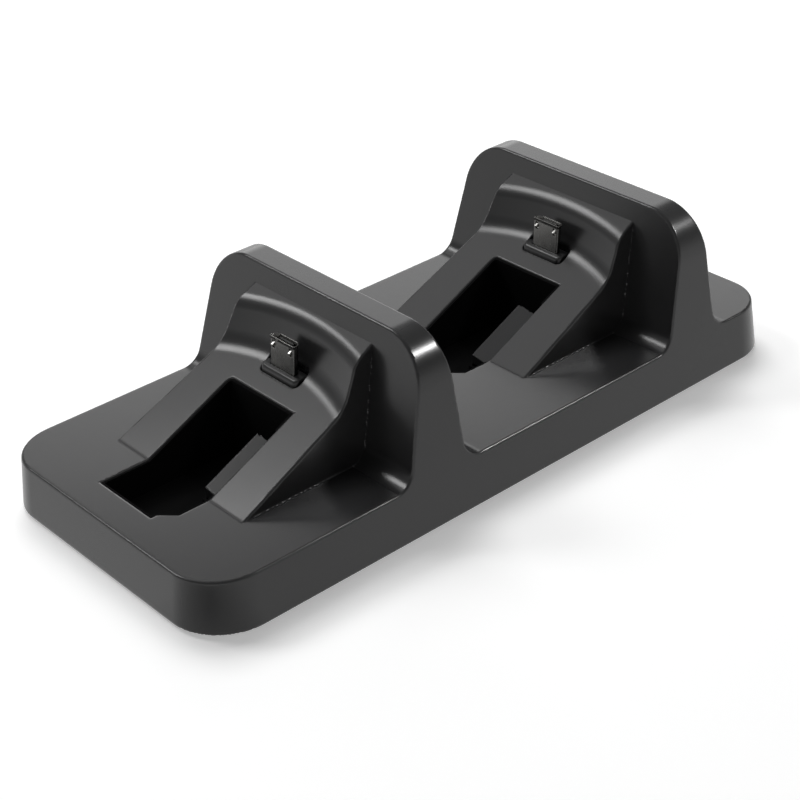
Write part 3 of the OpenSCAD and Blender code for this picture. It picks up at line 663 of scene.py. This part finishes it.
looks = {
    "housing_plastic": (mouldedPlastic, {
        "tone": (0.0225, 0.0225, 0.0232), "change": 0.1, "cloud": 26, "grain": 5200,
        "rough": 0.235, "roughChange": 0.04, "depth": 3e-6}),
    "cover_plastic": (mouldedPlastic, {
        "tone": (0.017, 0.017, 0.0175), "change": 0.12, "cloud": 30, "grain": 3200,
        "rough": 0.5, "roughChange": 0.08, "depth": 1.6e-5}),
    "grip_plastic": (mouldedPlastic, {
        "tone": (0.012, 0.012, 0.0125), "change": 0.1, "cloud": 90, "grain": 7000,
        "rough": 0.3, "roughChange": 0.06, "depth": 3e-6}),
    # The pockets' near-black, barely shiny lining: painted shade inside the pockets
    "liner_plastic": (mouldedPlastic, {
        "tone": (0.0035, 0.0035, 0.0036), "change": 0.15, "cloud": 50, "grain": 3000,
        "rough": 0.8, "roughChange": 0.1, "depth": 1e-5, "shine": 0.05}),
    "connector_plastic": (mouldedPlastic, {
        "tone": (0.008, 0.008, 0.008), "change": 0.1, "cloud": 200, "grain": 6000,
        "rough": 0.4, "roughChange": 0.08, "depth": 4e-6}),
    "foot_rubber": (softRubber, {"tone": (0.012, 0.012, 0.012), "grain": 6000, "cloud": 220, "depth": 2e-5}),
    "screw_steel": (sheetMetal, {
        "tone": (0.5, 0.5, 0.49), "streak": 900, "along": (1, 1, 0.2), "patch": 700,
        "rough": 0.34, "depth": 3e-6}),
    "inlet_metal": (sheetMetal, {
        "tone": (0.55, 0.55, 0.54), "streak": 1500, "along": (1, 0.08, 1), "patch": 500,
        "rough": 0.3, "depth": 2e-6}),
    "plug_metal": (sheetMetal, {
        "tone": (0.15, 0.148, 0.143), "streak": 2400, "along": (1, 1, 0.06), "patch": 600,
        "rough": 0.27, "depth": 2e-6}),
    "latch_metal": (sheetMetal, {
        "tone": (0.68, 0.67, 0.65), "streak": 2600, "along": (1, 1, 0.1), "patch": 900,
        "rough": 0.2, "depth": 1e-6}),
    "contact_metal": (sheetMetal, {
        "tone": (0.72, 0.54, 0.24), "streak": 3000, "along": (1, 1, 0.1), "patch": 1200,
        "rough": 0.22, "depth": 1e-6}),
    "circuit_board": (maskedBoard, {
        "tone": (0.02, 0.115, 0.05), "cells": 260, "pad": 0.16, "tracks": 120, "depth": 3e-5}),
    "chip_body": (mineralBlock, {"tone": (0.02, 0.02, 0.021), "grain": 3500, "depth": 1e-5}),
    "coil_body": (mineralBlock, {"tone": (0.04, 0.038, 0.036), "grain": 2200, "depth": 2e-5}),
    "lead_sleeve": (ribbedSleeve, {"tone": (0.26, 0.26, 0.26), "ribs": 300, "depth": 1e-4}),
}
finishes = {slot: make(slot, look) for slot, (make, look) in looks.items()}
for part in frame["record"]["subparts"]:
    slots = frame["nodes"][part["node"]].data.materials
    slots.clear()
    slots.append(finishes[part["material_slot"]])
print("finishes:", len(finishes))

housing = {"step": 0.34, "triangles": 185000, "margin": 0.7, "gridFoot": 0.1, "over": 0.6}


def makeHousing():
    halfWidth, halfLength = dock["width"] / 2 + housing["margin"], dock["length"] / 2 + housing["margin"]
    low = (-halfWidth, -halfLength, housing["gridFoot"])
    high = (halfWidth, halfLength, rest["top"] + housing["over"])
    piece = makePiece("upper_housing_moulding", housingDistance, low, high, housing["step"],
                      housing["triangles"], "housing_plastic")
    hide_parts("upper_housing")


makeHousing()

# Sizes of the near-black sleeve put in each pocket as painted shade
liner = {
    "clear": 0.03, "wall": 0.5, "floor": 3.4, "floorThick": 1.2, "below": 0.16,
    "step": 0.17, "triangles": 40000, "margin": 0.4, "gridTop": 22,
}


# Distance to a pocket's near-black lining, a sleeve put in as painted shade inside the pocket: it lies inside
# the pocket's outline with a floor, steps in round the ledge and ends just under the housing's surface and
# under the ledge
def shadeLiningDistance(x, y, z, k):
    along, height = y - toes[k], z - dock["flat"]
    left = pocket["halfWidth"] - pocket["ledgeWidths"][k]
    beyond = np.maximum(pocket["ledgeStarts"][k] - along, along - pocket["ledgeEnds"][k])
    step = np.maximum(left - x, beyond)
    outline = np.maximum(pocketOutline(x, along), -step)
    sleeve = np.maximum(outline + liner["clear"], -outline - liner["wall"])
    floor = np.maximum(outline + liner["clear"], z - liner["floor"] - liner["floorThick"])
    body = np.maximum(np.minimum(sleeve, floor), liner["floor"] - z)
    h = height * math.cos(cradle["slope"]) - along * math.sin(cradle["slope"])
    underLedge = h + pocket["ledgeDrop"] + dock["skin"] + liner["below"]
    overLedge = np.maximum(step - 2 * liner["wall"], -underLedge)
    return np.maximum(body, np.maximum(outerForm(x, y, z) + liner["below"], -overLedge))


# Each pocket gets a near-black sleeve as painted shade, in place of its CAD liner
def makeShadeLinings():
    for k, end in enumerate(("front", "rear")):
        reach = pocket["halfWidth"] + liner["margin"]
        low = (-reach, toes[k] - pocket["front"] - liner["margin"], liner["floor"] - liner["margin"])
        high = (reach, toes[k] + pocket["back"] + liner["margin"], liner["gridTop"])
        piece = makePiece(f"pocket_shade_lining_{end}", lambda x, y, z: shadeLiningDistance(x, y, z, k), low, high,
                          liner["step"], liner["triangles"], "liner_plastic")
        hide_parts(f"pocket_liner_{end}")


makeShadeLinings()

shell = {
    "sheet": 0.27, "bevel": 0.68, "corner": 0.3, "flare": 0.13, "rimLength": 0.7, "neck": 0.05,
    "hookSide": 2.45, "hookOut": 4.1, "hookWidth": 0.8, "hookHeight": 1.5, "hookCorner": 0.2,
    "hookEdge": 0.06, "edge": 0.1, "below": 1.5, "step": 0.1, "triangles": 24000, "margin": 0.3,
    "gridThick": 1.3,
}
grip = {
    "slope": math.radians(33), "shoulder": 0.95, "front": 0.5, "edge": 0.3, "seat": 0.16, "groove": 0.1,
    "grooveOut": 0.02, "grooveDepth": 0.25, "step": 0.13, "triangles": 18000, "margin": 0.3,
}


# Distance to a plug's outline seen along it: a rectangle with two bevelled corners behind, all rounded
def shellOutline(x, across):
    w, t, r = plug["width"] / 2 - shell["corner"], plug["thick"] / 2 - shell["corner"], shell["corner"]
    side, back = np.abs(x) - w, np.abs(across) - t
    bevel = (side + across - t + shell["bevel"]) / math.sqrt(2)
    box = np.hypot(np.maximum(side, 0), np.maximum(back, 0)) + np.minimum(np.maximum(side, back), 0)
    return roundMax(box - r, bevel - r, r)


# Distance to a plug's metal shell: a sheet round the outline, drawn in a little below its flared rim, with
# two windows for the latches
def shellDistance(x, across, out):
    rise = np.clip((out - plug["length"] + shell["rimLength"]) / shell["rimLength"], 0, 1)
    inset = shell["neck"] - (shell["neck"] + shell["flare"]) * rise * rise * (3 - 2 * rise)
    outline = shellOutline(x, across) + inset
    wall = roundMax(outline, -outline - shell["sheet"], shell["edge"])
    ends = np.maximum(out - plug["length"], -shell["below"] - out)
    window = roundedRectangle(np.abs(x) - shell["hookSide"], out - shell["hookOut"], shell["hookWidth"],
                              shell["hookHeight"], shell["hookCorner"])
    return roundMax(roundMax(wall, ends, shell["edge"]), -np.maximum(window, across), shell["hookEdge"])


# Distance to a plug's grip: its outline, an end face that falls away ahead of the plug, and the plug's seat
def gripDistance(x, across, out):
    body = roundMax(gripOutline(x, across), out, grip["edge"])
    fall = out * math.cos(grip["slope"]) - (across + grip["shoulder"]) * math.sin(grip["slope"])
    body = roundMax(body, fall, grip["front"])
    outline = shellOutline(x, across)
    seat = np.maximum(outline + grip["seat"], -plug["root"] - out)
    groove = np.maximum(np.abs(outline - grip["grooveOut"]) - grip["groove"], -grip["grooveDepth"] - out)
    body = np.maximum(body, -plug["gripLength"] - out)
    return np.maximum(body, -np.minimum(seat, groove))


def makePlugs():
    c, s = math.cos(plug["lean"]), math.sin(plug["lean"])
    axes = np.array([(1, 0, 0), (0, c, -s), (0, s, c)])
    for toe, end in zip(toes, ("front", "rear")):
        place = np.array([0, toe + plug["place"], dock["flat"] + plug["gripHeight"]])
        w, t, spare = plug["width"] / 2 + shell["margin"], shell["gridThick"], shell["margin"]
        metal = makePiece(f"plug_sleeve_{end}", shellDistance, (-w, -t, -shell["below"] - spare),
                          (w, t, plug["length"] + spare), shell["step"], shell["triangles"], "plug_metal",
                          (axes, place))
        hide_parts(f"plug_shell_{end}")
        w, spare = plug["gripWidth"] / 2 + grip["margin"], grip["margin"]
        body = makePiece(f"plug_base_{end}", gripDistance,
                         (-w, -plug["gripFront"] - spare, -plug["gripLength"] - spare),
                         (w, plug["gripBack"] + spare, spare), grip["step"], grip["triangles"],
                         "grip_plastic", (axes, place))
        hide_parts(f"plug_grip_{end}")
        softened(f"plug_hooks_{end}", f"plug_latch_{end}", "latch_metal", 0.05)


makePlugs()

foot = {
    "radius": 4.5, "top": 1.4, "edge": 0.35, "dish": 0.18, "rim": 0.9, "chamfer": 0.15, "rings": 48,
    "dishRows": 9, "edgeRows": 8,
}


# A foot's profile turned about its own axis: a face dished by the fourth power of its radius, a rounded rim,
# an upright side and a small chamfer
def makeFeet():
    turn = np.linspace(0, math.pi / 2, foot["edgeRows"])
    dish = np.linspace(0, foot["radius"] - foot["rim"], foot["dishRows"])
    radii = np.concatenate([dish, foot["radius"] - foot["edge"] + foot["edge"] * np.sin(turn),
                            [foot["radius"], foot["radius"] - foot["chamfer"], 0]])
    depth = foot["dish"] * (1 - (dish / dish[-1]) ** 4)
    heights = np.concatenate([depth, foot["edge"] * (1 - np.cos(turn)),
                              [foot["top"] - foot["chamfer"], foot["top"], foot["top"]]])
    angle = np.arange(foot["rings"]) * 2 * math.pi / foot["rings"]
    ring = np.stack([np.cos(angle), np.sin(angle)], axis=1)
    inner = np.concatenate([radii[1:-1, None, None] * ring, np.broadcast_to(
        heights[1:-1, None, None], (len(radii) - 2, len(angle), 1))], axis=2).reshape(-1, 3)
    points = np.concatenate([[(0, 0, heights[0])], inner, [(0, 0, heights[-1])]])
    n, last = foot["rings"], len(points) - 1
    here, ahead = np.arange(n), (np.arange(n) + 1) % n
    rows = 1 + np.arange(len(radii) - 3)[:, None] * n
    quads = np.stack([rows + here, rows + n + here, rows + n + ahead, rows + ahead], axis=2).reshape(-1, 4)
    top = last - n
    caps = np.concatenate([np.stack([np.zeros(n, int), 1 + here, 1 + ahead], axis=1),
                           np.stack([np.full(n, last), top + ahead, top + here], axis=1)])
    faces = np.concatenate([quads[:, [0, 1, 2]], quads[:, [0, 2, 3]], caps])
    for end in ("front", "rear"):
        for side in ("left", "right"):
            x, y, z = middle(f"foot_{end}_{side}")
            piece = meshObject(f"foot_pad_{end}_{side}", points + np.array([x, y, 0]), faces)
            piece.data.shade_smooth()
            finishPiece(piece, "foot_rubber")
            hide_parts(f"foot_{end}_{side}")


makeFeet()
softened("bottom_cover_plate", "bottom_cover", "cover_plastic", 0.3, 3)
softened("inlet_sleeve", "inlet_shell", "inlet_metal", 0.08)
softened("inlet_blade", "inlet_tongue", "connector_plastic", 0.1)
for place in ("front", "middle", "rear"):
    for side in ("left", "right"):
        softened(f"cover_screw_{place}_{side}", f"case_screw_{place}_{side}", "screw_steel", 0.12)
for end in ("front", "rear"):
    softened(f"plug_blade_{end}", f"plug_tongue_{end}", "connector_plastic", 0.08)


def addCamera():
    view = {"place": (0.238816, -0.198779, 0.191225), "target": (0.004782, 0.008585, 0.006382), "roll": -0.04,
            "lens": 83.712, "shift": (-0.0721, -0.0244)}
    camera = bpy.data.objects.new("camera", bpy.data.cameras.new("camera"))
    scene.collection.objects.link(camera)
    forward = (Vector(view["target"]) - Vector(view["place"])).normalized()
    right = forward.cross(Vector((0, 0, 1))).normalized()
    up = right.cross(forward)
    c, s = math.cos(view["roll"]), math.sin(view["roll"])
    turned = Matrix((right * c + up * s, up * c - right * s, -forward)).transposed()
    camera.matrix_world = Matrix.Translation(view["place"]) @ turned.to_4x4()
    camera.data.lens = view["lens"]
    camera.data.shift_x, camera.data.shift_y = view["shift"]
    camera.data.clip_start, camera.data.clip_end = 0.01, 20
    scene.camera = camera


addCamera()

# Each lamp points at the dock: its bearing from +x and its height in degrees, its distance and size in metres
# (tall where it isn't square) and its power in watts. Without gloss it lights the dock but isn't mirrored in
# it, and without even it is only mirrored
lamps = {
    "topPanel": {"bearing": 150, "height": 60, "away": 1.3, "size": 0.8, "power": 9.4, "gloss": False},
    "leftPanel": {"bearing": 178, "height": 50, "away": 1.3, "size": 0.5, "power": 0.62},
    "rearLeftPanel": {"bearing": 141, "height": 21, "away": 1.3, "size": 0.84, "tall": 0.66, "power": 2.5},
    "frontLeftPanel": {"bearing": 207, "height": 45, "away": 1.3, "size": 0.34, "power": 3.3},
    "rearRightPanel": {"bearing": 52, "height": 45, "away": 1.3, "size": 0.12, "power": 6.0, "even": False},
}
# The room: its floor, its glow, and a painted dark patch on the floor before the front right corner that only
# reflections see, painted shade in the dock's reflections
room = {
    "ceiling": 0.34, "horizon": 0.4, "soft": 0.06, "floorSize": 6, "floorTone": 0.86, "floorChange": 0.005,
    "glow": 0.37, "floorGloss": 0.95, "paintedShadePlace": (0.037, -0.084, 0), "paintedShadeReach": 0.026, "paintedShadeTone": 0.35,
}


def addLamps():
    for name, lamp in lamps.items():
        data = bpy.data.lights.new(name, "AREA")
        data.shape, data.energy = "RECTANGLE", lamp["power"]
        data.size, data.size_y = lamp["size"], lamp.get("tall", lamp["size"])
        made = bpy.data.objects.new(name, data)
        made.visible_glossy, made.visible_diffuse = lamp.get("gloss", True), lamp.get("even", True)
        bearing, height = math.radians(lamp["bearing"]), math.radians(lamp["height"])
        made.location = Vector((math.cos(height) * math.cos(bearing), math.cos(height) * math.sin(bearing),
                                math.sin(height))) * lamp["away"]
        made.rotation_euler = (-made.location).to_track_quat("-Z", "Y").to_euler()
        scene.collection.objects.link(made)


# One wire for each kind of ray that a finish asks about
def rayKinds(finish, kinds):
    return {kind: finish.node("LightPath", {}, {}, f"Is {kind} Ray") for kind in kinds}


# A white room: the camera sees it white, reflections see it white at the horizon and darker overhead, and
# it lights the dock only faintly. The floor takes shadows and glows a little to the camera. Reflections see
# it as an even glow instead, with a painted dark patch before the front right corner that nothing else
# sees, painted shade in the dock's reflections
def addRoom():
    world = Finish(bpy.data.worlds.new("studio"))
    scene.world = world.owner
    rays = rayKinds(world, ("Camera", "Glossy", "Transmission"))
    direction = world.node("TexCoord", {}, {}, "Generated")
    upward = world.node("SeparateXYZ", {}, {"Vector": direction}, "Z")
    overhead = world.maths("MINIMUM", world.maths("MAXIMUM", upward, 0.0) / room["horizon"], 1.0)
    mirrored = 1 - overhead * (1 - room["ceiling"])
    white = world.maths("MAXIMUM", rays["Camera"], rays["Transmission"])
    level = white + (1 - white) * (rays["Glossy"] * mirrored + (1 - rays["Glossy"]) * room["soft"])
    background = world.tree.nodes["Background"].inputs
    world.feed(background["Color"], (1, 1, 1, 1))
    world.feed(background["Strength"], level)
    paper = newFinish("paper_sweep")
    fibres = paper.noise(700, 4)
    grey, change = (room["floorTone"],) * 3, room["floorChange"]
    tone = paper.mix(fibres, shade(grey, 1 - change), shade(grey, 1 + change))
    # A painted dark patch on the floor, seen only by reflections: painted shade mirrored in the dock's front
    # right corner
    fromPaintedShade = paper.node("VectorMath", {"operation": "DISTANCE"},
                          {0: paper.place(), 1: room["paintedShadePlace"]}, "Value")
    faded = paper.maths("MINIMUM", fromPaintedShade / room["paintedShadeReach"], 1.0)
    paintedShade = room["paintedShadeTone"] + faded * (1 - room["paintedShadeTone"])
    rays = rayKinds(paper, ("Camera", "Glossy"))
    seen = paper.mix(rays["Glossy"], paper.mix(rays["Camera"], tone, (1, 1, 1, 1)), (0, 0, 0, 1))
    glow = rays["Camera"] * room["glow"] + rays["Glossy"] * paintedShade * room["floorGloss"]
    paper.surface({"Base Color": seen, "Roughness": 0.9, "Specular IOR Level": 0.0,
                   "Emission Color": glow, "Emission Strength": 1.0, "Normal": paper.bump(fibres, 1e-5)})
    half = room["floorSize"] / 2
    points = np.array([(-half, -half, 0), (half, -half, 0), (half, half, 0), (-half, half, 0)]) / millimetre
    floor = meshObject("floor", points, np.array([[0, 1, 2, 3]]))
    floor.data.materials.append(paper.owner)


addLamps()
addRoom()
print("camera, lamps and room are in place")

scene.view_settings.view_transform = "Standard"
